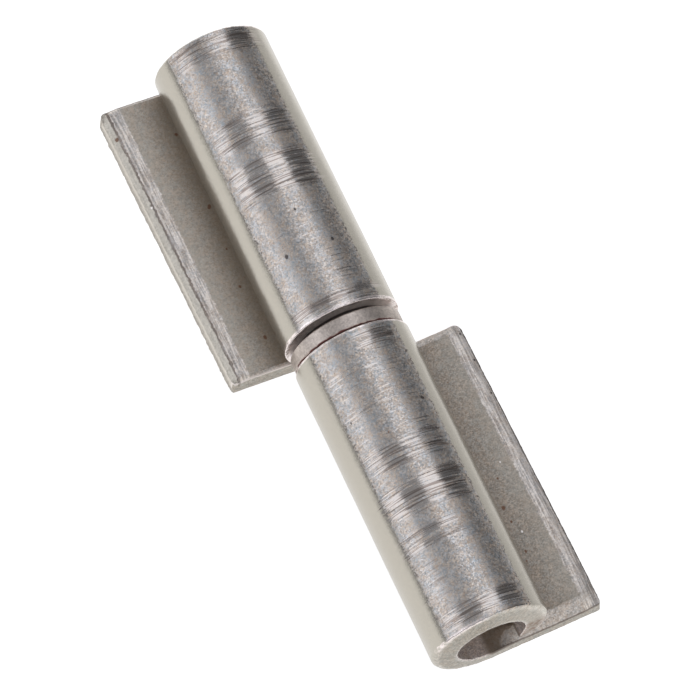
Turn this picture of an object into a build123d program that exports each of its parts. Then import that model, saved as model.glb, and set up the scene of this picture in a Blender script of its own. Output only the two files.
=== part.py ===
from build123d import *
from math import asin, cos, degrees, sin
import os

# Lift-off barrel hinge that is welded on. Each half is one piece of strip: a flat leaf whose
# end is rolled round into a barrel until its cut tip seats on the leaf again. The upper half
# stands end for end to the lower one. A pin is held fast in the lower barrel, the upper
# barrel turns on it and lifts off it, and a loose ring parts the two.
# Frame: +Z up the pin, +X to the lower leaf's free edge, +Y to the faces that are welded on.
# Origin: on the pin's axis, level with the lower leaf's bottom end. Millimetres.

# --- strip and barrel, the same for both halves ---
barrel_diameter = 14.4        # outside of the roll
sheet_thickness = 3.0         # strip that the halves are pressed from
half_length = 38.35           # leaf and barrel, along the pin
leaf_reach = 13.5             # pin axis to the leaf's free edge
seam_gap = 0.08               # roll's tip to the leaf that it seats on
tip_rounding = 0.35           # the tip's inner corner
first_end_bulge = 0.5         # roll's inner rim stands proud of its outer rim by this
second_end_bulge = 0.25       # the same, at the end beside the ring
side_droop = 1.2              # free edge's front corner, drawn down as the blank was cut

# --- each half's own cut edges: the first end faces outwards, the second faces the ring ---
lower_first_droop = 1.4       # front corner of the leaf's end
lower_second_droop = 0.9
lower_first_corner = 0.4      # free corner, seen from the front
lower_second_corner = 0.9
upper_first_droop = 0.35
upper_second_droop = 0.15
upper_first_corner = 0.9
upper_second_corner = 0.3

# --- pin and ring ---
running_clearance = 0.05      # radial, pin in the upper barrel
pin_foot_recess = 6.0         # pin's lower end, up inside the lower barrel
pin_tip_recess = 5.0          # pin's upper end, down inside the upper barrel
pin_foot_chamfer = 0.6
pin_nose_length = 1.8         # tapered nose that finds the upper barrel
pin_nose_taper = 1.1
washer_inset = 0.28           # radial, the ring's outside within the barrels'
washer_thickness = 1.85
washer_clearance = 0.15       # radial, ring on the pin
washer_edge = 0.15

# --- how the halves stand ---
standing_gap = 0.7            # upper barrel above the ring, lifted a little on the pin
open_angle = 11.0             # upper leaf swung forward from flat

barrel_radius = barrel_diameter / 2
bore_radius = barrel_radius - sheet_thickness
pin_radius = bore_radius - running_clearance
washer_radius = barrel_radius - washer_inset
largest_droop = 0.48 * sheet_thickness

# The roll stops where its outside meets the leaf. The press flattens the strip's cut end
# there, from the outer corner on the leaf to the inner corner on the bore.
tip_seat = bore_radius - seam_gap
tip_angle = asin(tip_seat / barrel_radius)
tip_outer = (barrel_radius * cos(tip_angle), tip_seat)
tip_inner = (bore_radius * cos(tip_angle), bore_radius * sin(tip_angle))
roll_sweep = 270 + degrees(tip_angle)

# Levels along the pin.
washer_base = half_length + second_end_bulge
washer_top = washer_base + washer_thickness
upper_base = washer_top + standing_gap + second_end_bulge
upper_top = upper_base + half_length
pin_tip = upper_top - pin_tip_recess


def pressed_half(first_droop, second_droop, first_corner, second_corner):
    """One half with its first end at Z = 0, its leaf to +X and its welded face to +Y."""
    with BuildPart() as half:
        # Flat leaf, from under the roll's tip to the free edge: its section along the strip,
        # cut to its section across the strip and to its outline from the front.
        leaf_start = tip_inner[0]
        with BuildSketch(Plane.YZ.offset(leaf_start)) as end_section:
            with Locations((bore_radius, 0)):
                Rectangle(sheet_thickness, half_length, align=(Align.MIN, Align.MIN))
            front_corners = end_section.vertices().group_by(Axis.X)[0].sort_by(Axis.Y)
            fillet(front_corners[0], radius=min(first_droop, largest_droop))
            fillet(front_corners[-1], radius=min(second_droop, largest_droop))
        extrude(amount=leaf_reach - leaf_start)
        with BuildSketch() as edge_section:
            with Locations((leaf_start, bore_radius)):
                Rectangle(
                    leaf_reach - leaf_start, sheet_thickness, align=(Align.MIN, Align.MIN)
                )
            free_corner = edge_section.vertices().group_by(Axis.Y)[0].sort_by(Axis.X)[-1]
            fillet(free_corner, radius=min(side_droop, largest_droop))
        extrude(amount=half_length, mode=Mode.INTERSECT)
        with BuildSketch(Plane.XZ.offset(-barrel_radius)) as leaf_outline:
            with Locations((leaf_start, 0)):
                Rectangle(leaf_reach - leaf_start, half_length, align=(Align.MIN, Align.MIN))
            free_corners = leaf_outline.vertices().group_by(Axis.X)[-1].sort_by(Axis.Y)
            fillet(free_corners[0], radius=first_corner)
            fillet(free_corners[-1], radius=second_corner)
        extrude(amount=sheet_thickness, mode=Mode.INTERSECT)

        # Roll: back wall, round the pin, and its tip flattened on the leaf.
        with BuildSketch(Plane.XY.offset(-first_end_bulge)) as roll_section:
            with BuildLine():
                Line((leaf_start, barrel_radius), (0, barrel_radius))
                CenterArc((0, 0), barrel_radius, 90, roll_sweep)
                Polyline(tip_outer, (leaf_start, tip_seat), tip_inner)
                CenterArc((0, 0), bore_radius, 90, roll_sweep)
                Polyline((0, bore_radius), (leaf_start, bore_radius), (leaf_start, barrel_radius))
            make_face()
            tip_corner = roll_section.vertices().sort_by_distance(tip_inner)[0]
            fillet(tip_corner, radius=tip_rounding)
        extrude(amount=first_end_bulge + half_length + second_end_bulge)

        # Both ends are dished: bending thickens the strip's inside and thins its outside, so
        # the end stands proud at the bore and falls away to the outer rim.
        with BuildSketch(Plane.XZ):
            with BuildLine():
                Polyline(
                    (bore_radius, -first_end_bulge),
                    (barrel_radius, 0),
                    (leaf_reach, 0),
                    (leaf_reach, -first_end_bulge),
                    close=True,
                )
            make_face()
            with BuildLine():
                Polyline(
                    (bore_radius, half_length + second_end_bulge),
                    (barrel_radius, half_length),
                    (leaf_reach, half_length),
                    (leaf_reach, half_length + second_end_bulge),
                    close=True,
                )
            make_face()
        revolve(axis=Axis.Z, mode=Mode.SUBTRACT)
    return half.part


with BuildPart() as lower_leaf:
    add(
        pressed_half(
            lower_first_droop, lower_second_droop, lower_first_corner, lower_second_corner
        )
    )
lower_leaf.part.label = "lower_leaf"

# The upper half is turned end for end about Y, so its first end is on top, and swung open.
with BuildPart() as upper_leaf:
    half = pressed_half(
        upper_first_droop, upper_second_droop, upper_first_corner, upper_second_corner
    )
    swung = half.rotate(Axis.Y, 180).rotate(Axis.Z, open_angle)
    add(swung.translate((0, 0, upper_top)))
upper_leaf.part.label = "upper_leaf"

# Pin: a seat that the lower barrel grips, a thinner running length and a tapered nose.
with BuildPart() as hinge_pin:
    with BuildSketch(Plane.XZ):
        with BuildLine():
            Polyline(
                (0, pin_foot_recess),
                (bore_radius - pin_foot_chamfer, pin_foot_recess),
                (bore_radius, pin_foot_recess + pin_foot_chamfer),
                (bore_radius, half_length),
                (pin_radius, half_length + running_clearance),
                (pin_radius, pin_tip - pin_nose_length),
                (pin_radius - pin_nose_taper, pin_tip),
                (0, pin_tip),
                close=True,
            )
        make_face()
    revolve(axis=Axis.Z)
hinge_pin.part.label = "hinge_pin"

# Ring: turned from bar, loose on the pin, resting on the lower barrel's inner rim.
with BuildPart() as washer:
    with BuildSketch(Plane.XY.offset(washer_base)):
        Circle(washer_radius)
        Circle(pin_radius + washer_clearance, mode=Mode.SUBTRACT)
    extrude(amount=washer_thickness)
    chamfer(washer.edges().filter_by(GeomType.CIRCLE), length=washer_edge)
washer.part.label = "washer"

os.makedirs("parts", exist_ok=True)
export_step(lower_leaf.part, "parts/lower_leaf.step")
export_step(upper_leaf.part, "parts/upper_leaf.step")
export_step(hinge_pin.part, "parts/hinge_pin.step")
export_step(washer.part, "parts/washer.step")
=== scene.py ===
import bpy
import math
import numpy as np
from mathutils import Matrix, Vector, noise
from types import SimpleNamespace


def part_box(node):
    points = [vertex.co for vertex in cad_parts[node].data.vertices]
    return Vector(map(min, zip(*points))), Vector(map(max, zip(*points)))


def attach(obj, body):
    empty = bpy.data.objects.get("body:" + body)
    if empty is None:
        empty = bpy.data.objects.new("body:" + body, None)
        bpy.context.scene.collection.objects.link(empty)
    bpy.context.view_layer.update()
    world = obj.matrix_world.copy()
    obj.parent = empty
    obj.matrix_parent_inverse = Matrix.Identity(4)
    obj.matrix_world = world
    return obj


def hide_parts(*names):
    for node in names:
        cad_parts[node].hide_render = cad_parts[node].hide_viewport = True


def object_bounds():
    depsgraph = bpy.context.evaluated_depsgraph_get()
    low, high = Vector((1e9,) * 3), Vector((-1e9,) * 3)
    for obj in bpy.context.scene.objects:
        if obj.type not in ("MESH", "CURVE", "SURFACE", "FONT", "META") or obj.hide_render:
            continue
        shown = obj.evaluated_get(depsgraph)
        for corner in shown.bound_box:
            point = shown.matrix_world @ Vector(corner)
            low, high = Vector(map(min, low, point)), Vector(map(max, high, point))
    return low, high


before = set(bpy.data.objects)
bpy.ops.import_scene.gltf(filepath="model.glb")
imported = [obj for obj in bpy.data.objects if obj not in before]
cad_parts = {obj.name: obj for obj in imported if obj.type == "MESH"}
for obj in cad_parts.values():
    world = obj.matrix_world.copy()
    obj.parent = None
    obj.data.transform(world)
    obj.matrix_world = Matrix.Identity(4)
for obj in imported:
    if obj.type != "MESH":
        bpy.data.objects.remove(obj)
cad_low, cad_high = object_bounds()
MM = 0.001


# ------------------------------------------------------------------------------------------
# The two pressed halves. Each is one piece of cold-rolled steel strip, cropped to length in
# a press, then rolled round a mandrel until its cut end seats on the leaf. Bare metal: dull
# leaves, barrels with fine bright rings where the rolls and the turning barrel rubbed.
# ------------------------------------------------------------------------------------------
lower_low, lower_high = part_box("lower_leaf")
BARREL_RADIUS = -lower_low.y / MM
LEAF_REACH = lower_high.x / MM              # from the pin's axis to the leaf's free edge
THICKNESS = 3.0
BORE_RADIUS = BARREL_RADIUS - THICKNESS
FIRST_BULGE = -lower_low.z / MM             # the roll's ends stand this far past the leaf's
SECOND_BULGE = 0.25
HALF_LENGTH = lower_high.z / MM - SECOND_BULGE
OPEN_ANGLE = math.radians(11.0)             # the upper leaf stands this far forward of flat
TIP_GAP = 0.08                              # the tip of the roll stops this short of the leaf
TIP_ANGLE = math.asin((BORE_RADIUS - TIP_GAP) / BARREL_RADIUS)
TIP_X = BORE_RADIUS * math.cos(TIP_ANGLE)   # where the tip meets the bore


def new_piece(name, points, faces):
    """A mesh object, linked to the scene. Points in metres."""
    mesh = bpy.data.meshes.new(name)
    mesh.from_pydata(points, [], faces)
    piece = bpy.data.objects.new(name, mesh)
    bpy.context.scene.collection.objects.link(piece)
    return piece


def fine_ends(count, low, high, crowd):
    """Numbers from low to high, closer together at both ends by crowd."""
    even = np.linspace(0, 1, count)
    eased = even - crowd * np.sin(2 * math.pi * even) / (2 * math.pi)
    return low + (high - low) * eased


def strip_stations():
    """Where the strip runs: outer line, inner line and the length so far from the free edge."""
    leaf_points, roll_step = 35, 0.24
    leaf_run = fine_ends(2 * leaf_points, 0, 2 * LEAF_REACH, 0.6)[:leaf_points]
    leaf_run = leaf_run / leaf_run[-1] * LEAF_REACH
    leaf_x = LEAF_REACH - leaf_run
    outer = np.stack([leaf_x, np.full_like(leaf_x, BARREL_RADIUS)], 1)
    inner = np.stack([leaf_x, np.full_like(leaf_x, BORE_RADIUS)], 1)

    sweep = math.radians(270) + TIP_ANGLE
    arc_length = BARREL_RADIUS * sweep
    seat_length = BARREL_RADIUS * math.cos(TIP_ANGLE) - TIP_X
    roll_length = arc_length + seat_length
    run = np.linspace(0, roll_length, int(roll_length / roll_step))[1:]
    outer_turn = math.radians(90) + np.minimum(run, arc_length) / BARREL_RADIUS
    roll_outer = BARREL_RADIUS * np.stack([np.cos(outer_turn), np.sin(outer_turn)], 1)
    roll_outer[:, 0] -= np.maximum(run - arc_length, 0)
    inner_turn = math.radians(90) + sweep * run / run[-1]
    roll_inner = BORE_RADIUS * np.stack([np.cos(inner_turn), np.sin(inner_turn)], 1)
    length = np.concatenate([leaf_run, LEAF_REACH + run])
    return np.concatenate([outer, roll_outer]), np.concatenate([inner, roll_inner]), length


def ramp(x, low, high):
    """Smooth step from 0 at low to 1 at high."""
    t = np.clip((x - low) / (high - low), 0, 1)
    return t * t * (3 - 2 * t)


def wander(points, size, seed):
    """Smooth noise from -1 to 1 at each point, with lumps of about that size."""
    shift = Vector((seed * 17.3, seed * 5.1, seed * 9.7))
    return np.array([noise.noise(Vector(p) / size + shift) for p in points])


def pressed_half(name, shape, seed):
    """One half with its first end at Z = 0 and its leaf to +X, in millimetres. Everything below
    is a function of three things: the length along the strip, z along the barrel, and n through
    the strip, 0 at the leaf's front and in the bore and 1 at the back and outside the barrel."""
    outer, inner, length = strip_stations()
    count = len(length)
    rolled = (1 - ramp(LEAF_REACH - length, 0.0, 5.0))[:, None]
    turn = math.radians(90) + np.clip(length - LEAF_REACH, 0, None) / BARREL_RADIUS
    line = np.stack([length, np.zeros(count), np.zeros(count)], 1)
    length_in = length[:, None]

    def corner_inset(radius):
        near = np.minimum(length, radius)
        return radius - np.sqrt(radius**2 - (radius - near) ** 2)

    first_jag = 0.035 * wander(line, 1.1, seed) + 0.03 * wander(line, 0.3, seed + 1)
    second_jag = 0.03 * wander(line, 1.3, seed + 2) + 0.02 * wander(line, 0.35, seed + 3)
    # Burrs and rounded corners of the ends grow and fade again over this much of a turn.
    spread = 0.8
    first_burr = shape["first_burr"] * np.exp(-(((turn - shape["first_burr_at"]) / spread) ** 2))
    first_burr = (first_burr * (1 + 0.6 * wander(line, 0.5, seed + 4)))[:, None]
    second_burr = shape["second_burr"] * ramp(length, LEAF_REACH - 3, LEAF_REACH + 3)
    second_burr = (second_burr * (1 + 0.4 * wander(line, 0.6, seed + 5)))[:, None]
    first_line = (corner_inset(shape["first_corner"]) + first_jag)[:, None]
    second_line = (HALF_LENGTH - corner_inset(shape["second_corner"]) + second_jag)[:, None]

    def first_end(n):
        return first_line - FIRST_BULGE * rolled * (1 - n) - ramp(n, 0.9, 1.0) * first_burr

    def second_end(n):
        return second_line + SECOND_BULGE * rolled * (1 - n) + ramp(n, 0.9, 1.0) * second_burr

    def drawn_down(z):
        """How far the shear drew the front face down here, as a share of the thickness, and how
        far this place is into the drawn border, from 0 to 1."""
        soft, steepness, deepest = 0.6, 1.25, 0.85
        b = 1 - length_in / (shape["side_width"] * (1 + soft))
        a_first = 1 - (z - first_line) / (shape["first_width"] * (1 + soft))
        a_second = 1 - (second_line - z) / (shape["second_width"] * (1 + soft))
        a = np.clip(np.maximum(a_first, a_second), 0, 1)
        b = np.clip(b, 0, 1) * np.ones_like(a)
        depth = np.where(a_first > a_second, shape["first_depth"], shape["second_depth"])
        depth = (a * depth * (1 - rolled) + b * shape["side_depth"]) / np.maximum(a + b, 1e-6)
        start = soft / (1 + soft)
        share = np.clip((np.hypot(a, b) - start) / (1 - start), 0, 1)
        depth = np.minimum(depth * share**steepness, deepest * THICKNESS)
        return depth / THICKNESS, share * (1 - rolled)

    # Radii of the corners where the end faces meet the faces of the strip.
    front_corner = 0.10 + 0.15 * rolled
    left = np.exp(-(((turn - math.radians(185)) / spread) ** 2))[:, None]
    first_back = 0.18 + 0.12 * rolled + shape["first_left_round"] * left
    second_back = 0.25 - 0.07 * rolled
    across = np.linspace(0, 1, 9)[None, 1:-1]
    bend = np.linspace(0, math.pi / 2, 5)[None, :]
    run = fine_ends(168, 0, 1, 0.75)[None, 1:-1]
    parts = []

    def add(z, n, cut, edge, border):
        """Adds the next stretch of the strip's outline: places, and marks for the finish."""
        z, n, cut, edge, border = np.broadcast_arrays(z, n, cut, edge, border)
        parts.append((z, n, cut, edge, border))

    start_n, start_share = drawn_down(first_end(0.0))
    stop_n, stop_share = drawn_down(second_end(0.0))
    # First end's front corner, front face, second end's front corner.
    n = start_n + front_corner / THICKNESS * (1 - np.sin(bend))
    add(first_end(n) + front_corner * (1 - np.cos(bend)), n, np.cos(bend) ** 4, 1.0, start_share)
    low_z, high_z = first_end(start_n) + front_corner, second_end(stop_n) - front_corner
    z = low_z + (high_z - low_z) * run
    n, share = drawn_down(z)
    add(z, n, 0.0, 0.0, share)
    n = stop_n + front_corner / THICKNESS * (1 - np.cos(bend))
    add(second_end(n) - front_corner * (1 - np.sin(bend)), n, np.sin(bend) ** 4, 1.0, stop_share)
    # Second end's face and back corner, back face, first end's back corner and face.
    low_n, high_n = stop_n + front_corner / THICKNESS, 1 - second_back / THICKNESS
    n = low_n + (high_n - low_n) * across
    add(second_end(n), n, 1.0, 0.0, 0.0)
    n = 1 - second_back / THICKNESS * (1 - np.sin(bend))
    add(second_end(n) - second_back * (1 - np.cos(bend)), n, np.cos(bend) ** 4, 1.0, 0.0)
    one = np.ones((count, 1))
    low_z, high_z = first_end(one) + first_back, second_end(one) - second_back
    add(high_z + (low_z - high_z) * run, one, 0.0, 0.0, 0.0)
    n = 1 - first_back / THICKNESS * (1 - np.cos(bend))
    add(first_end(n) + first_back * (1 - np.sin(bend)), n, np.sin(bend) ** 4, 1.0, 0.0)
    low_n, high_n = start_n + front_corner / THICKNESS, 1 - first_back / THICKNESS
    n = high_n + (low_n - high_n) * across
    add(first_end(n), n, 1.0, 0.0, 0.0)
    z, n, cut, edge, border = (np.concatenate([p[k] for p in parts], 1) for k in range(5))
    around = z.shape[1]

    # The free edge and the tip are closed by rings that shrink towards the middle of the strip.
    def closing(i, steps=8):
        rings = []
        for k in range(1, steps):
            share = k / steps
            middle = (n[i].min() + n[i].max()) / 2
            ring_n = middle + (n[i] - middle) * (1 - share)
            margin = share * THICKNESS / 2
            ring_z = np.clip(z[i], z[i].min() + margin, z[i].max() - margin)
            ring_edge = np.full(around, 1.0 if k < 2 else 0.0)
            rings.append((ring_z, ring_n, np.ones(around), ring_edge, np.zeros(around)))
        return [np.array(column) for column in zip(*rings)]

    free, tip = [column[::-1] for column in closing(0)], closing(count - 1)
    extra = len(free[0])
    layers = [np.concatenate([f, body, t]) for f, body, t in zip(free, (z, n, cut, edge, border), tip)]
    all_z, all_n = layers[0], layers[1]
    station = np.concatenate([np.zeros(extra, int), np.arange(count), np.full(extra, count - 1)])
    plane = inner[station][:, None, :] + all_n[:, :, None] * (outer - inner)[station][:, None, :]
    co = np.concatenate([plane, all_z[:, :, None]], 2).reshape(-1, 3)
    flat_length = np.repeat(length[station], around)
    flat_n = all_n.reshape(-1)

    # Rolled strip isn't quite round or flat, and a sheared free edge is a little out of true.
    out = (outer - inner)[station]
    out = out / np.linalg.norm(out, axis=1)[:, None]
    out = np.repeat(out, around, 0)
    unrolled = np.stack([flat_length, co[:, 2] * 0.5, flat_n * 2], 1)
    sway = 0.03 * wander(unrolled, 4.0, seed + 6) + 0.012 * wander(unrolled, 1.2, seed + 7)
    co[:, :2] += out * (sway * ramp(flat_length, 0.3, 2.0))[:, None]
    near_edge = 1 - ramp(flat_length, 0.0, 6.0)
    taper = shape["taper"] * (0.5 - co[:, 2] / HALF_LENGTH)
    torn = np.stack([flat_n * 1.5, co[:, 2], np.zeros(len(co))], 1)
    rough = 0.05 * wander(torn, 0.5, seed + 8) + 0.03 * wander(torn, 0.2, seed + 9)
    rough[: extra * around] *= 0.1          # the rows that close the free edge stay nearly smooth
    co[:, 0] += near_edge * taper + np.exp(-flat_length / 0.15) * shape["torn"] * rough

    rows = len(station)
    index = np.arange(rows * around).reshape(rows, around)
    following = np.roll(index, -1, 1)
    quads = np.stack([index[:-1], index[1:], following[1:], following[:-1]], 2).reshape(-1, 4)
    faces = [list(q) for q in quads] + [list(index[0]), list(index[-1][::-1])]
    piece = new_piece(name, (co * MM).tolist(), faces)
    mesh = piece.data
    strip = mesh.attributes.new("strip", "FLOAT_VECTOR", "POINT")
    strip.data.foreach_set("vector", np.stack([flat_length, co[:, 2], flat_n], 1).astype(np.float32).ravel())
    for label, values in zip(("cut", "edge", "border"), layers[2:]):
        layer = mesh.attributes.new(label, "FLOAT", "POINT")
        layer.data.foreach_set("value", values.reshape(-1).astype(np.float32))
    mesh.shade_smooth()
    return piece


def put(tree, kind, inputs=None, **settings):
    """Adds a shader node. Each input is a number, a colour or another node's output."""
    node = tree.nodes.new(kind)
    for key, value in settings.items():
        setattr(node, key, value)
    for key, value in (inputs or {}).items():
        if isinstance(value, bpy.types.NodeSocket):
            tree.links.new(value, node.inputs[key])
        else:
            node.inputs[key].default_value = value
    return node


def maths(tree, operation, *values):
    return put(tree, "ShaderNodeMath", dict(enumerate(values)), operation=operation).outputs[0]


def plus(tree, first, second):
    return maths(tree, "ADD", first, second)


def minus(tree, first, second):
    return maths(tree, "SUBTRACT", first, second)


def over(tree, first, second):
    return maths(tree, "DIVIDE", first, second)


def times(tree, result, *others):
    for other in others:
        result = maths(tree, "MULTIPLY", result, other)
    return result


def largest(tree, result, *others):
    for other in others:
        result = maths(tree, "MAXIMUM", result, other)
    return result


def vector_maths(tree, operation, first, second=None):
    """One step on vectors. SCALE takes a number as its second value, NORMALIZE takes none."""
    inputs = {0: first}
    if second is not None:
        inputs["Scale" if operation == "SCALE" else 1] = second
    return put(tree, "ShaderNodeVectorMath", inputs, operation=operation).outputs[0]


def fade(tree, value, low, high, to_low=0.0, to_high=1.0):
    """Smooth step of a value from low to high. Low may be the greater of the two."""
    return put(tree, "ShaderNodeMapRange", {
        "Value": value, "From Min": low, "From Max": high, "To Min": to_low, "To Max": to_high,
    }, interpolation_type="SMOOTHSTEP").outputs["Result"]


def blend_number(tree, share, first, second):
    return put(tree, "ShaderNodeMix", {0: share, 2: first, 3: second}, data_type="FLOAT").outputs[0]


def blend_colour(tree, share, first, second, blend_type="MIX"):
    """Mixes two colours by share. Either may be a colour or an output."""
    return put(tree, "ShaderNodeMix", {0: share, 6: first, 7: second}, data_type="RGBA",
               blend_type=blend_type).outputs[2]


def soft_noise(tree, place, scale, detail, roughness=0.5):
    return put(tree, "ShaderNodeTexNoise", {
        "Vector": place, "Scale": scale, "Detail": detail, "Roughness": roughness})


def strip_noise(tree, around, along, around_scale, along_scale, seed, detail, roughness=0.5):
    """Noise laid out on the strip, stretched by a scale of its own each way."""
    place = put(tree, "ShaderNodeCombineXYZ", {
        0: times(tree, around, around_scale), 1: times(tree, along, along_scale), 2: seed})
    return soft_noise(tree, place.outputs[0], 1.0, detail, roughness)


def swayed(tree, value, sway, size):
    """A value moved to and fro by a noise, up to half of size each way."""
    return plus(tree, value, times(tree, minus(tree, sway, 0.5), size))


FLOAT, VECTOR, COLOR = "NodeSocketFloat", "NodeSocketVector", "NodeSocketColor"
HALF_GREY = (0.5, 0.5, 0.5)


def group(name, inputs, outputs):
    """An empty node group with these sockets, its inputs by name, and its output node."""
    tree = bpy.data.node_groups.new(name, "ShaderNodeTree")
    for label, kind, start in inputs:
        socket = tree.interface.new_socket(label, in_out="INPUT", socket_type=kind)
        if start is not None:
            socket.default_value = start
    for label, kind in outputs:
        tree.interface.new_socket(label, in_out="OUTPUT", socket_type=kind)
    return tree, put(tree, "NodeGroupInput").outputs, put(tree, "NodeGroupOutput")


def deliver(tree, group_output, **results):
    """Joins each result to the group's output of that name."""
    for label, result in results.items():
        tree.links.new(result, group_output.inputs[label])


# Grain of bare rolled steel: tiny facets, each with its own tone and tilt, soft blotches and
# a slight play of colour.
steel_grain, given, end = group(
    "steel_grain",
    [("Position", VECTOR, None), ("Grain Size", FLOAT, 0.15), ("Blotch Size", FLOAT, 1.4)],
    [("Speckle", FLOAT), ("Blotch", FLOAT), ("Pits", FLOAT), ("Tilt", VECTOR), ("Tint", COLOR)],
)
tree = steel_grain
facets = put(tree, "ShaderNodeTexVoronoi", {
    "Vector": given["Position"], "Scale": over(tree, 1.0, given["Grain Size"])}).outputs["Color"]
facet = put(tree, "ShaderNodeSeparateXYZ", {0: facets}).outputs
fine = soft_noise(tree, given["Position"], over(tree, 0.4, given["Grain Size"]), 2.0, 0.7).outputs["Fac"]
blotch = soft_noise(tree, given["Position"], over(tree, 1.0, given["Blotch Size"]), 3.0, 0.65).outputs["Fac"]
deliver(
    tree, end,
    Speckle=plus(tree, times(tree, facet["X"], 0.65), times(tree, fade(tree, fine, 0.3, 0.7), 0.35)),
    Blotch=fade(tree, blotch, 0.32, 0.68),
    Pits=fade(tree, swayed(tree, facet["Y"], blotch, 0.5), 0.12, 0.8),
    Tilt=vector_maths(tree, "SUBTRACT", facets, HALF_GREY),
    Tint=blend_colour(
        tree, plus(tree, times(tree, facet["Z"], 0.6), times(tree, fade(tree, blotch, 0.35, 0.65), 0.4)),
        (0.34, 0.50, 0.66, 1), (0.66, 0.49, 0.38, 1)),
)

# Bright rings: fine lines round the barrel within a band, broken up along the turn, with the
# grooves between them.
rubbed_rings, given, end = group(
    "rubbed_rings",
    [("Around", FLOAT, 0.0), ("Along", FLOAT, 0.0), ("Middle", FLOAT, 10.0), ("Width", FLOAT, 3.0),
     ("From", FLOAT, 20.0), ("To", FLOAT, 40.0), ("Cover", FLOAT, 0.5), ("Seed", FLOAT, 0.0)],
    [("Mask", FLOAT), ("Grooves", FLOAT), ("Tilt", VECTOR)],
)
tree = rubbed_rings
around, along = given["Around"], given["Along"]
lines = strip_noise(tree, around, along, 0.13, 4.2, given["Seed"], 1.5, 0.6).outputs
hairlines = strip_noise(tree, around, along, 0.16, 5.5, plus(tree, given["Seed"], 40.0), 1.0).outputs["Fac"]
reach = strip_noise(tree, around, along, 0.22, 0.9, given["Seed"], 2.0).outputs["Fac"]
needed = times(tree, minus(tree, 1.5, given["Cover"]), 0.5)
above = minus(tree, swayed(tree, lines["Fac"], reach, 0.5), needed)
off_middle = maths(tree, "ABSOLUTE", minus(tree, along, given["Middle"]))
band = fade(tree, minus(tree, times(tree, given["Width"], 0.5), off_middle), -0.4, 0.5)
# The lines start at very uneven places and stop at more even ones.
ragged = swayed(tree, around, lines["Fac"], 7.0)
start = fade(tree, minus(tree, ragged, given["From"]), -0.5, 0.5)
calm = plus(tree, times(tree, ragged, 0.4), times(tree, around, 0.6))
stop = fade(tree, minus(tree, given["To"], calm), -0.4, 0.4)
window = times(tree, start, stop, band)
rubbed = times(tree, window, fade(tree, above, -0.05, 0.08))
grooved = times(tree, window, fade(tree, given["Cover"], 0.2, 0.5))
deliver(
    tree, end,
    Mask=rubbed,
    Grooves=times(tree, grooved, fade(tree, hairlines, 0.47, 0.40)),
    Tilt=vector_maths(tree, "SCALE", vector_maths(tree, "SUBTRACT", lines["Color"], HALF_GREY), rubbed),
)

# Rust: small brown specks that gather where a slow noise lets them.
rust_specks, given, end = group(
    "rust_specks",
    [("Position", VECTOR, None), ("Size", FLOAT, 0.5), ("Cover", FLOAT, 0.2)],
    [("Mask", FLOAT)],
)
tree = rust_specks
specks = soft_noise(tree, given["Position"], over(tree, 1.0, given["Size"]), 2.0).outputs["Fac"]
gather = soft_noise(tree, given["Position"], over(tree, 0.12, given["Size"]), 1.0).outputs["Fac"]
chance = times(tree, specks, plus(tree, gather, 0.5))
deliver(tree, end, Mask=fade(tree, minus(tree, chance, minus(tree, 1.0, given["Cover"])), 0.0, 0.06))

# One small spot, ragged and a little longer than wide.
small_spot, given, end = group(
    "small_spot",
    [("Around", FLOAT, 0.0), ("Along", FLOAT, 0.0), ("Spot Around", FLOAT, 0.0),
     ("Spot Along", FLOAT, 0.0), ("Size", FLOAT, 0.2), ("Ragged", FLOAT, 0.5)],
    [("Mask", FLOAT)],
)
tree = small_spot
across = times(tree, minus(tree, given["Around"], given["Spot Around"]), 1.3)
down = minus(tree, given["Along"], given["Spot Along"])
gap = maths(tree, "SQRT", plus(tree, times(tree, across, across), times(tree, down, down)))
gap = swayed(tree, over(tree, gap, given["Size"]), given["Ragged"], 1.6)
deliver(tree, end, Mask=fade(tree, gap, 1.1, 0.6))


def new_material(name):
    """A material, its nodes and its own shader."""
    material = bpy.data.materials.new(name)
    material.use_nodes = True
    return material, material.node_tree, material.node_tree.nodes["Principled BSDF"]


def place_in_mm(tree, scale=(1, 1, 1), shift=(0, 0, 0)):
    """Where a point lies on its own piece, in millimetres."""
    place = put(tree, "ShaderNodeTexCoord").outputs["Object"]
    return put(tree, "ShaderNodeMapping", {
        "Vector": place, "Scale": [share / MM for share in scale], "Location": shift}).outputs["Vector"]


def strip_layout(tree, seed):
    """What a half's finish is laid out on. Around is the way along the strip from its free edge:
    the leaf ends at 13.5, and on the barrel 25 is the side away from the leaf, 36 the front and 47
    the side towards the leaf. Along runs from the first end. Through is 0 at the leaf's front and
    in the bore, and 1 at the leaf's back and outside the barrel."""
    def carried(label, output="Fac"):
        return put(tree, "ShaderNodeAttribute", attribute_name=label).outputs[output]

    on = put(tree, "ShaderNodeSeparateXYZ", {0: carried("strip", "Vector")}).outputs
    position = place_in_mm(tree, shift=(seed, 0, 0))
    rolled = fade(tree, on["X"], LEAF_REACH - 0.5, LEAF_REACH + 1.5)
    return SimpleNamespace(
        around=on["X"], along=on["Y"], through=on["Z"], position=position,
        cut=carried("cut"), edge=carried("edge"), border=carried("border"),
        rolled=rolled, barrel=times(tree, rolled, fade(tree, on["Z"], 0.6, 0.9)),
        grain=put(tree, "ShaderNodeGroup", {
            "Position": position, "Grain Size": 0.16, "Blotch Size": 1.2}, node_tree=steel_grain).outputs,
        jag=soft_noise(tree, position, 1.6, 3.0, 0.7).outputs["Fac"],
        streaks=strip_noise(tree, on["X"], on["Y"], 4.5, 0.35, seed, 3.0).outputs["Fac"])


def grainy(tree, on, dark, light, tint=0.0):
    """The grain between two tones, with a share of its play of colour."""
    colour = blend_colour(tree, on.grain["Speckle"], dark, light)
    return blend_colour(tree, tint, colour, on.grain["Tint"], "OVERLAY") if tint else colour


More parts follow.
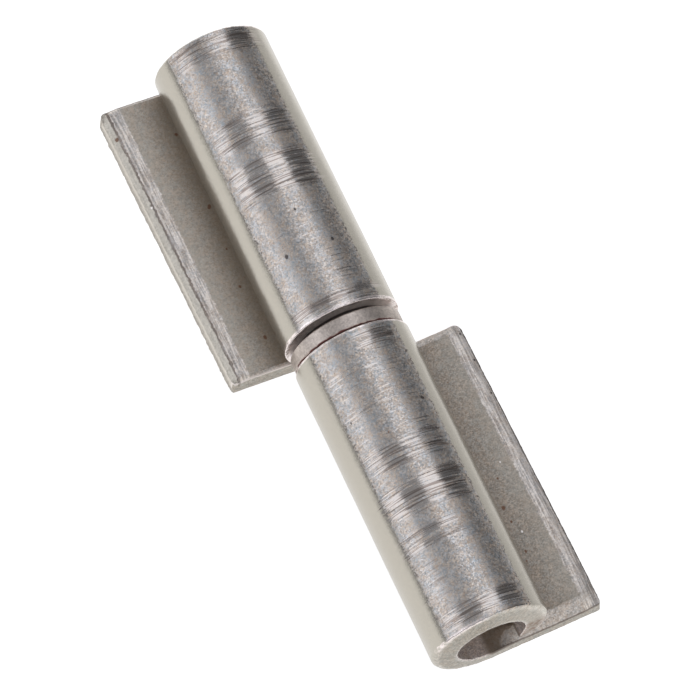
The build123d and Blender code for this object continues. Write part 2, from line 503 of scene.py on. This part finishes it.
def barrel_skin(tree, on, skin_from, skin_to, seed):
    """Stretched outside of the barrel: finely pitted between two wavy limits and at the back,
    smooth elsewhere, with dark dots where the skin ends."""
    wave = strip_noise(tree, on.around, on.along, 0.5, 1.5, seed + 5.0, 4.0).outputs["Fac"]
    waved = swayed(tree, on.around, wave, 0.9)
    inside = maths(tree, "MINIMUM", minus(tree, waved, skin_from), minus(tree, skin_to, waved))
    back = fade(tree, on.around, LEAF_REACH + 10.5, LEAF_REACH + 7.0, 0.0, 0.8)
    pitted = largest(tree, fade(tree, inside, -0.15, 0.25), back)
    smooth = grainy(tree, on, (0.455, 0.425, 0.37, 1), (0.505, 0.47, 0.405, 1))
    skin = blend_colour(tree, pitted, smooth, grainy(
        tree, on, (0.40, 0.37, 0.335, 1), (0.72, 0.665, 0.60, 1), tint=0.5))
    off_limit = maths(tree, "ABSOLUTE", minus(tree, inside, 0.1))
    dots = times(tree, fade(tree, off_limit, 0.35, 0.1), fade(tree, on.grain["Speckle"], 0.5, 0.3),
                 fade(tree, on.grain["Blotch"], 0.3, 0.7, 0.2, 0.85))
    return blend_colour(tree, dots, skin, (0.20, 0.18, 0.17, 1)), pitted


def leaf_and_bore(tree, on):
    """Leaf faces and bore, dull as the mill left them. Painted light and shade: the leaf's front paler
    towards its free edge and browner towards the barrel, and the bore painted pale.
    """
    dull = grainy(tree, on, (0.26, 0.23, 0.192, 1), (0.53, 0.47, 0.40, 1), tint=0.25)
    # Painted light: the leaf's front is paler towards its free edge, away from the barrel's shade.
    outer = times(tree, fade(tree, on.around, 5.0, 1.5, 0.0, 0.35), fade(tree, on.through, 0.7, 0.5))
    dull = blend_colour(tree, outer, dull, (0.60, 0.55, 0.48, 1))
    # Painted shade: the valley between leaf and barrel is darkened brown, where the barrel shades the leaf.
    valley_shade = fade(tree, on.around, LEAF_REACH - 10.0, LEAF_REACH - 6.0, 0.0, 0.6)
    dull = blend_colour(tree, valley_shade, dull, (0.25, 0.195, 0.15, 1))
    # Painted light: the bore is painted pale pink-grey, up to near white, for light that comes in at its open
    # end.
    bore = times(tree, fade(tree, on.around, LEAF_REACH, LEAF_REACH + 2.0), fade(tree, on.through, 0.35, 0.2))
    return blend_colour(tree, bore, dull, grainy(
        tree, on, (0.46, 0.40, 0.37, 1), (0.98, 0.89, 0.83, 1), tint=0.3))


def all_rings(tree, on, rings, seed):
    """Every rubbed ring of a barrel: where it is bright, where grooved, and how its lines lean."""
    mask, grooves, lean = 0.0, 0.0, (0.0, 0.0, 0.0)
    for i, (middle, width, start, stop, cover, strength) in enumerate(rings):
        ring = put(tree, "ShaderNodeGroup", {
            "Around": on.around, "Along": on.along, "Middle": middle, "Width": width, "From": start,
            "To": stop, "Cover": cover, "Seed": seed + 3.7 * i}, node_tree=rubbed_rings).outputs
        mask = largest(tree, mask, times(tree, ring["Mask"], strength))
        grooves = largest(tree, grooves, times(tree, ring["Grooves"], strength))
        lean = vector_maths(tree, "ADD", lean, ring["Tilt"])
    return times(tree, mask, on.barrel), times(tree, grooves, on.barrel), lean


def sheared_border(tree, on, border_to):
    """Drawn-down borders of the leaf, and a strip beside the free edge: rubbed bright in streaks, and pale
    with painted light on the tilted border as well.
    """
    drawn = fade(tree, swayed(tree, on.border, on.jag, 0.35), 0.08, 0.14)
    drawn = times(tree, drawn, fade(tree, on.border, 0.0, 0.02))
    beside = fade(tree, swayed(tree, on.around, on.jag, 0.8), border_to + 0.15, border_to - 0.1)
    mask = largest(tree, drawn, times(tree, beside, fade(tree, on.through, 0.75, 0.6)))
    mask = times(tree, mask, fade(tree, on.around, LEAF_REACH - 0.5, LEAF_REACH - 2.0))
    streaked = blend_number(
        tree, times(tree, beside, 0.5), on.grain["Speckle"], fade(tree, on.streaks, 0.38, 0.62))
    # Painted light with real rubbing: the border's pale tones, palest beside the free edge.
    painted_lit_tones = blend_colour(tree, beside, (0.74, 0.685, 0.635, 1), (0.98, 0.91, 0.84, 1))
    colour = blend_colour(tree, streaked, (0.34, 0.30, 0.265, 1), painted_lit_tones)
    return mask, blend_colour(tree, 0.25, colour, on.grain["Tint"], "OVERLAY")


def cut_faces(tree, on):
    """Sheared faces: the two ends, the free edge and the tip of the roll."""
    sheared = grainy(tree, on, (0.26, 0.235, 0.195, 1), (0.60, 0.555, 0.48, 1), tint=0.2)
    # Along the free edge the front of the cut is burnished and the back broke away rough.
    brightened = fade(tree, on.around, 0.05, 0.0, 0.0, 0.7)
    sheared = blend_colour(tree, brightened, sheared, (0.78, 0.73, 0.65, 1))
    broken = fade(tree, swayed(tree, on.through, on.jag, 0.3), 0.6, 0.75, 0.0, 0.8)
    broken = times(tree, broken, fade(tree, on.around, 0.05, 0.0))
    sheared = blend_colour(tree, broken, sheared, grainy(
        tree, on, (0.16, 0.14, 0.12, 1), (0.58, 0.53, 0.46, 1)))
    # The end of the roll is a little brighter towards the leaf's side.
    leaf_side = fade(tree, on.around, LEAF_REACH + 22.0, LEAF_REACH + 30.0, 0.0, 0.35)
    sheared = blend_colour(tree, leaf_side, sheared, (0.66, 0.62, 0.55, 1))
    # Painted shade: brown where the roll's tip comes down on the leaf, for the crevice under the tip.
    tip = LEAF_REACH + BARREL_RADIUS * (math.radians(270) + TIP_ANGLE)
    tip_crevice_shade = times(tree, fade(tree, on.around, tip - 5, tip - 2), fade(tree, on.jag, 0.35, 0.6, 0.3, 0.9))
    return blend_colour(tree, tip_crevice_shade, sheared, (0.22, 0.13, 0.08, 1))


def pressed_steel(name, rings, skin_from, skin_to, border_to, line_at, torn_to, spots, seed):
    """Bare strip steel for one half, in millimetres on the strip as strip_layout gives them.
    Rings: (middle along, width, from and to around, cover, strength). The barrel's pitted skin runs
    from skin_from to skin_to. The leaf's streaked border reaches border_to, and a dark torn line
    follows the free edge at line_at, down to torn_to through the strip. Spots: (around, along,
    size, colour)."""
    material, tree, shader = new_material(name)
    on = strip_layout(tree, seed)
    skin, pitted = barrel_skin(tree, on, skin_from, skin_to, seed)
    colour = blend_colour(tree, on.barrel, leaf_and_bore(tree, on), skin)
    bright_rings, grooves, line_lean = all_rings(tree, on, rings, seed)
    colour = blend_colour(tree, times(tree, bright_rings, 0.8), colour, (0.58, 0.53, 0.49, 1))
    colour = blend_colour(tree, times(tree, grooves, 0.75), colour, (0.22, 0.17, 0.145, 1))
    on_border, border_colour = sheared_border(tree, on, border_to)
    colour = blend_colour(tree, on_border, colour, border_colour)
    # Past the torn line the shear left the steel smooth and drawn down.
    ragged = swayed(tree, on.around, on.jag, 0.5)
    past_line = fade(tree, ragged, line_at, line_at - 0.2, 0.0, 0.8)
    colour = blend_colour(tree, past_line, colour, grainy(
        tree, on, (0.48, 0.45, 0.39, 1), (0.66, 0.62, 0.54, 1)))
    colour = blend_colour(tree, on.cut, colour, cut_faces(tree, on))

    # The second end faces the ring, painted in light and shade: paler at the front, rubbed pale outside, and
    # a painted shade, nearly black, towards the pin where it meets the ring.
    at_ring = times(tree, on.rolled, fade(tree, on.along, HALF_LENGTH - 1.2, HALF_LENGTH - 0.6))
    facing = blend_colour(
        tree, fade(tree, on.around, 43.0, 34.0), (0.50, 0.45, 0.45, 1), (1.0, 0.95, 0.92, 1))
    facing = blend_colour(tree, on.grain["Speckle"], facing, (0.95, 0.88, 0.85, 1))
    pin_side_shade = fade(tree, on.through, 0.50, 0.40, 0.0, 0.85)
    facing = blend_colour(tree, pin_side_shade, facing, (0.05, 0.04, 0.04, 1))
    colour = blend_colour(tree, times(tree, on.cut, at_ring), colour, facing)
    # Painted highlights: bright rims on the jagged lip at the front of the first end, and all round the
    # second, where burrs and rounded edges catch the light.
    lip = times(tree, fade(tree, on.around, 27.0, 29.0), fade(tree, on.around, 37.0, 35.0),
                fade(tree, on.through, 0.8, 0.95))
    near_second = times(tree, on.barrel, fade(tree, on.along, HALF_LENGTH - 0.35, HALF_LENGTH - 0.15))
    near_first = times(tree, on.barrel, lip, fade(tree, on.along, 0.4, 0.15))
    rim_highlight = largest(tree, near_second, near_first, times(tree, on.edge, largest(tree, lip, at_ring)))
    rim_highlight = times(tree, rim_highlight, fade(tree, on.jag, 0.35, 0.55, 0.15, 0.95))
    colour = blend_colour(tree, rim_highlight, colour, (0.92, 0.83, 0.80, 1))
    # Leaf corners: darker at the first end, and a painted highlight along the corner at the second.
    corner = times(tree, on.edge, minus(tree, 1.0, on.rolled), fade(tree, on.through, 0.75, 0.65))
    darkened = times(tree, fade(tree, on.along, 3.0, 2.0), 0.75, corner)
    colour = blend_colour(tree, darkened, colour, (0.20, 0.165, 0.14, 1))
    brightened = times(tree, corner, fade(tree, on.along, HALF_LENGTH - 3.0, HALF_LENGTH - 2.0, 0.0, 0.8))
    colour = blend_colour(tree, brightened, colour, (0.86, 0.79, 0.76, 1))
    # A dark torn line runs along the free edge.
    off_line = maths(tree, "ABSOLUTE", minus(tree, ragged, line_at))
    torn = times(tree, fade(tree, off_line, 0.17, 0.07), fade(tree, on.streaks, 0.35, 0.55, 0.45, 1.0),
                 fade(tree, on.through, torn_to, torn_to - 0.1), 0.85)
    colour = blend_colour(tree, torn, colour, (0.13, 0.10, 0.08, 1))

    for spot_around, spot_along, size, shade in spots:
        on_face = put(tree, "ShaderNodeGroup", {
            "Around": on.around, "Along": on.along, "Spot Around": spot_around,
            "Spot Along": spot_along, "Size": size, "Ragged": on.jag}, node_tree=small_spot).outputs["Mask"]
        if spot_around < LEAF_REACH:
            on_face = times(tree, on_face, fade(tree, on.through, 0.7, 0.5))
        colour = blend_colour(tree, times(tree, on_face, 0.85), colour, shade)
    rust = put(tree, "ShaderNodeGroup", {"Position": on.position, "Size": 0.45, "Cover": 0.13},
               node_tree=rust_specks).outputs["Mask"]
    rust = times(tree, rust, fade(tree, minus(tree, on.barrel, pitted), 0.5, 0.0))
    colour = blend_colour(tree, rust, colour, (0.30, 0.13, 0.06, 1))
    tree.links.new(colour, shader.inputs["Base Color"])

    bright = largest(tree, on.barrel, times(tree, on_border, 0.5))
    tree.links.new(fade(tree, bright, 0.0, 1.0, 0.75, 1.0), shader.inputs["Metallic"])
    roughness = blend_number(tree, on.grain["Pits"], 0.32, 0.52)
    roughness = blend_number(tree, pitted, 0.24, roughness)
    roughness = blend_number(tree, bright_rings, roughness, 0.19)
    roughness = blend_number(tree, on.barrel, 0.5, roughness)
    roughness = blend_number(tree, times(tree, on.edge, on.rolled), roughness, 0.25)
    tree.links.new(roughness, shader.inputs["Roughness"])

    # Every facet and every rubbed line leans its own way.
    unrubbed = minus(tree, 1.0, times(tree, bright_rings, 0.8))
    facet_size = times(tree, unrubbed, fade(tree, pitted, 0.0, 1.0, 0.04, 0.12))
    normal = put(tree, "ShaderNodeNewGeometry").outputs["Normal"]
    for lean, size in ((on.grain["Tilt"], facet_size), (line_lean, times(tree, on.barrel, 0.28))):
        normal = vector_maths(tree, "ADD", normal, vector_maths(tree, "SCALE", lean, size))
    tree.links.new(vector_maths(tree, "NORMALIZE", normal), shader.inputs["Normal"])
    return material


# Rust and dirt spots are marks on the steel; the white spots are painted highlights, small glints.
RUST, DIRT, PAINTED_GLINT = (0.17, 0.08, 0.045, 1), (0.07, 0.06, 0.06, 1), (1.0, 0.95, 0.92, 1)
# In millimetres, for the leaf's front face: widths and depths of the borders that the shear drew
# down, radii of the free edge's corners, burrs, rounding at the left of the first end, how far the
# free edge runs out of true (taper) and how rough it is (torn).
LOWER_SHAPE = {
    "first_width": 1.85, "first_depth": 1.2, "second_width": 1.2, "second_depth": 0.6,
    "side_width": 1.1, "side_depth": 0.35, "first_corner": 0.4, "second_corner": 0.9,
    "first_burr": 0.28, "first_burr_at": math.radians(240), "second_burr": 0.05,
    "first_left_round": 0.3, "taper": 0.5, "torn": 0.8,
}
UPPER_SHAPE = {
    "first_width": 0.5, "first_depth": 0.35, "second_width": 0.4, "second_depth": 0.3,
    "side_width": 1.2, "side_depth": 1.0, "first_corner": 0.5, "second_corner": 0.3,
    "first_burr": 0.05, "first_burr_at": math.radians(270), "second_burr": 0.16,
    "first_left_round": 0.1, "taper": 0.7, "torn": 1.6,
}

lower_half = pressed_half("lower_half_steel", LOWER_SHAPE, seed=3)
lower_half.data.materials.append(pressed_steel(
    "lower_half_bare_steel",
    [(22.4, 3.4, 31, 41.2, 0.5, 0.9), (16.9, 4.4, 30.5, 41.4, 0.58, 1.0), (11.8, 2.6, 30.5, 38, 0.5, 0.9),
     (1.8, 2.6, 31.0, 41.4, 0.62, 0.9), (36.6, 2.4, 37, 41.4, 0.6, 0.9), (28.5, 14.0, 31, 41, 0.22, 0.9),
     (7.0, 5.0, 31.5, 33.5, 0.5, 0.5)],
    skin_from=30.4, skin_to=42.0, border_to=1.8, line_at=0.0, torn_to=0.25, seed=2.0,
    spots=[(5.1, 15.0, 0.34, RUST), (5.0, 13.1, 0.2, RUST), (5.0, 9.1, 0.28, RUST),
           (4.2, 18.6, 0.16, RUST), (5.4, 8.0, 0.16, RUST), (4.4, 11.5, 0.18, PAINTED_GLINT),
           (3.1, 20.3, 0.16, PAINTED_GLINT), (0.4, 36.9, 0.16, DIRT), (0.3, 33.2, 0.2, DIRT),
           (0.3, 28.6, 0.18, DIRT), (40.8, 27.7, 0.34, DIRT), (31.5, 28.3, 0.16, DIRT)]))
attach(lower_half, "lower_half")
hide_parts("lower_leaf")

# The upper half is turned end for end about Y and swung open on the pin.
upper_half = pressed_half("upper_half_steel", UPPER_SHAPE, seed=11)
turned = Matrix.Rotation(OPEN_ANGLE, 4, "Z") @ Matrix.Rotation(math.pi, 4, "Y")
upper_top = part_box("upper_leaf")[1].z - FIRST_BULGE * MM
upper_half.data.transform(Matrix.Translation((0, 0, upper_top)) @ turned)
upper_half.data.materials.append(pressed_steel(
    "upper_half_bare_steel",
    [(13.2, 4.0, 32, 42.6, 0.55, 0.9), (19.8, 5.2, 32, 42.6, 0.6, 1.0), (37.4, 2.2, 31, 43.5, 0.5, 0.9),
     (1.8, 2.8, 31, 42.6, 0.55, 0.9), (27.0, 18.0, 33, 42, 0.2, 0.6)],
    skin_from=31.8, skin_to=43.2, border_to=2.2, line_at=0.75, torn_to=0.5, seed=9.0,
    spots=[(6.8, 16.2, 0.34, RUST), (7.0, 5.9, 0.28, RUST), (6.1, 34.2, 0.32, RUST),
           (6.0, 27.1, 0.22, RUST), (6.5, 22.0, 0.17, RUST), (0.5, 3.9, 0.3, RUST),
           (0.6, 13.7, 0.2, PAINTED_GLINT), (40.3, 29.9, 0.36, DIRT), (34.4, 30.0, 0.28, DIRT),
           (37.0, 25.0, 0.18, DIRT)]))
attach(upper_half, "upper_half")
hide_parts("upper_leaf")


# ------------------------------------------------------------------------------------------
# The pin. Drawn round bar with a chamfered foot and a tapered nose, pressed into the lower
# barrel. Smooth bare steel with faint lines along it from the drawing die.
# ------------------------------------------------------------------------------------------
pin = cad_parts["hinge_pin"]
LINE_DEPTH = 0.01 * MM


def lined_steel(name, grain_size, line_scale):
    """Bare steel with fine lines one way: its material, nodes, shader, grain and line noise."""
    material, tree, shader = new_material(name)
    shader.inputs["Metallic"].default_value = 1.0
    grain = put(tree, "ShaderNodeGroup", {
        "Position": place_in_mm(tree), "Grain Size": grain_size}, node_tree=steel_grain).outputs
    lines = soft_noise(tree, place_in_mm(tree, line_scale), 1.0, 3.0).outputs["Fac"]
    bump = put(tree, "ShaderNodeBump", {"Strength": 0.3, "Distance": LINE_DEPTH, "Height": lines})
    tree.links.new(bump.outputs["Normal"], shader.inputs["Normal"])
    return material, tree, shader, grain, lines


drawn_steel, tree, shader, grain, die_lines = lined_steel("drawn_pin_steel", 0.15, (5, 5, 0.15))
colour = blend_colour(tree, die_lines, (0.40, 0.38, 0.37, 1), (0.62, 0.60, 0.58, 1))
tree.links.new(colour, shader.inputs["Base Color"])
tree.links.new(plus(tree, 0.22, times(tree, grain["Blotch"], 0.15)), shader.inputs["Roughness"])
pin.data.materials.clear()
pin.data.materials.append(drawn_steel)


# ------------------------------------------------------------------------------------------
# The loose ring. Turned and parted off from bar, it keeps the two barrels from rubbing.
# Bare steel with fine turning lines and slightly broken edges.
# ------------------------------------------------------------------------------------------
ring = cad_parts["washer"]
turned_steel, tree, shader, grain = lined_steel("turned_ring_steel", 0.2, (0.2, 0.2, 9))[:4]
colour = blend_colour(tree, grain["Speckle"], (0.44, 0.385, 0.345, 1), (0.70, 0.62, 0.56, 1))
# Painted shade and rust: a dark red-brown band at the ring's foot, in the corner where it bears on the lower
# barrel.
generated = put(tree, "ShaderNodeTexCoord").outputs["Generated"]
height = put(tree, "ShaderNodeSeparateXYZ", {0: generated}).outputs["Z"]
darkened = plus(tree, height, times(tree, grain["Blotch"], 0.08))
colour = blend_colour(tree, fade(tree, darkened, 0.13, 0.07), colour, (0.16, 0.075, 0.07, 1))
tree.links.new(colour, shader.inputs["Base Color"])
tree.links.new(plus(tree, 0.40, times(tree, grain["Blotch"], 0.12)), shader.inputs["Roughness"])
ring.data.materials.clear()
ring.data.materials.append(turned_steel)


# ------------------------------------------------------------------------------------------
# The table and the light. The hinge is shown lying over a pale table, its welded faces to
# it, with a soft light each side and the dim room round the front.
# ------------------------------------------------------------------------------------------
TABLE_Y, TABLE_HALF = 45 * MM, 1500 * MM
TABLE_GLOW, DIM_GLOW = 0.6, 0.24
COOL_WHITE = (0.96, 0.985, 1.05)

table = new_piece("pale_table", [
    (-TABLE_HALF, TABLE_Y, -TABLE_HALF), (TABLE_HALF, TABLE_Y, -TABLE_HALF),
    (TABLE_HALF, TABLE_Y, TABLE_HALF), (-TABLE_HALF, TABLE_Y, TABLE_HALF)], [(0, 1, 2, 3)])
pale, tree, shader = new_material("pale_table_paint")
shader.inputs["Base Color"].default_value = (0.8, 0.8, 0.8, 1)
shader.inputs["Roughness"].default_value = 0.9
shader.inputs["Specular IOR Level"].default_value = 0.0
ray = put(tree, "ShaderNodeLightPath").outputs
# The metal mirrors a table that dims to the right. Seen directly, it glows evenly.
object_place = put(tree, "ShaderNodeTexCoord").outputs["Object"]
from_left = put(tree, "ShaderNodeSeparateXYZ", {0: object_place}).outputs["X"]
mirrored = largest(tree, ray["Is Glossy Ray"], ray["Is Transmission Ray"])
mirrored = times(tree, mirrored, fade(tree, from_left, 45 * MM, 100 * MM, TABLE_GLOW, DIM_GLOW))
strength = largest(tree, mirrored, times(tree, ray["Is Camera Ray"], TABLE_GLOW))
glow = put(tree, "ShaderNodeEmission", {"Color": (1, 1, 1, 1), "Strength": strength})
lit = put(tree, "ShaderNodeAddShader", {0: shader.outputs[0], 1: glow.outputs[0]})
# Seen from behind, the table is clear.
behind = put(tree, "ShaderNodeNewGeometry").outputs["Backfacing"]
clear = put(tree, "ShaderNodeBsdfTransparent")
either = put(tree, "ShaderNodeMixShader", {0: behind, 1: lit.outputs[0], 2: clear.outputs[0]})
tree.links.new(either.outputs[0], tree.nodes["Material Output"].inputs["Surface"])
table.data.materials.append(pale)

middle = (cad_low + cad_high) / 2


def lamp(name, azimuth, height_angle, distance, width, height, power):
    """Soft box that faces the hinge. Azimuth 0 is in front and 90 on the right."""
    a, e = math.radians(azimuth), math.radians(height_angle)
    towards = Vector((math.sin(a) * math.cos(e), -math.cos(a) * math.cos(e), math.sin(e)))
    data = bpy.data.lights.new(name, "AREA")
    data.shape = "RECTANGLE"
    data.size = width
    data.size_y = height
    data.energy = power
    data.color = COOL_WHITE
    light = bpy.data.objects.new(name, data)
    light.location = middle + distance * towards
    light.rotation_euler = (-towards).to_track_quat("-Z", "Y").to_euler()
    bpy.context.scene.collection.objects.link(light)


lamp("left_soft_box", azimuth=-57, height_angle=18, distance=0.6, width=0.36, height=0.5, power=0.62)
lamp("right_soft_box", azimuth=22, height_angle=18, distance=0.6, width=0.34, height=0.5, power=0.54)


def room_wall(name, start, stop, shade):
    """Part of the dim room round the front, which only the metal sees. Angles as for the lamps."""
    radius, low, high, steps = 0.95, -0.5, 1.3, 12
    points, faces = [], []
    for i in range(steps + 1):
        a = math.radians(start + (stop - start) * i / steps)
        for z in (low, high):
            points.append((radius * math.sin(a), -radius * math.cos(a), z))
        if i:
            faces.append((2 * i - 2, 2 * i, 2 * i + 1, 2 * i - 1))
    wall = new_piece(name, points, faces)
    wall.visible_camera = False
    wall.visible_diffuse = False
    wall.visible_shadow = False
    material, tree, shader = new_material(name)
    tree.nodes.remove(shader)
    glow = put(tree, "ShaderNodeEmission", {"Color": (*COOL_WHITE, 1), "Strength": shade})
    tree.links.new(glow.outputs[0], tree.nodes["Material Output"].inputs["Surface"])
    wall.data.materials.append(material)


room_wall("left_of_room", start=-89, stop=-40, shade=0.30)
room_wall("front_of_room", start=-40, stop=42, shade=0.34)
room_wall("right_of_room", start=42, stop=99, shade=0.14)

# The world is plain white, twice as strong where it is seen or mirrored.
world = bpy.data.worlds.new("studio")
world.use_nodes = True
tree = world.node_tree
ray = put(tree, "ShaderNodeLightPath").outputs
seen = largest(tree, ray["Is Glossy Ray"], ray["Is Transmission Ray"], ray["Is Camera Ray"])
background = tree.nodes["Background"]
background.inputs["Color"].default_value = (1, 1, 1, 1)
tree.links.new(plus(tree, 0.5, times(tree, seen, 0.5)), background.inputs["Strength"])
bpy.context.scene.world = world
bpy.context.scene.view_settings.view_transform = "Standard"

# The camera looks along the pin from below and in front, rolled as the hinge is shown.
camera_data = bpy.data.cameras.new("camera")
camera_data.sensor_width = 36
camera_data.lens = 269.56
camera_data.clip_start = 0.05
camera_data.clip_end = 10
camera = bpy.data.objects.new("camera", camera_data)
CAMERA_PLACE = Vector((-63.145, -561.992, -179.864)) * MM
yaw = Matrix.Rotation(math.radians(-6.4025), 4, "Z")
pitch = Matrix.Rotation(math.radians(90 + 21.1395), 4, "X")
roll = Matrix.Rotation(math.radians(-25.8655), 4, "Z")
camera.matrix_world = Matrix.Translation(CAMERA_PLACE) @ yaw @ pitch @ roll
bpy.context.scene.collection.objects.link(camera)
bpy.context.scene.camera = camera
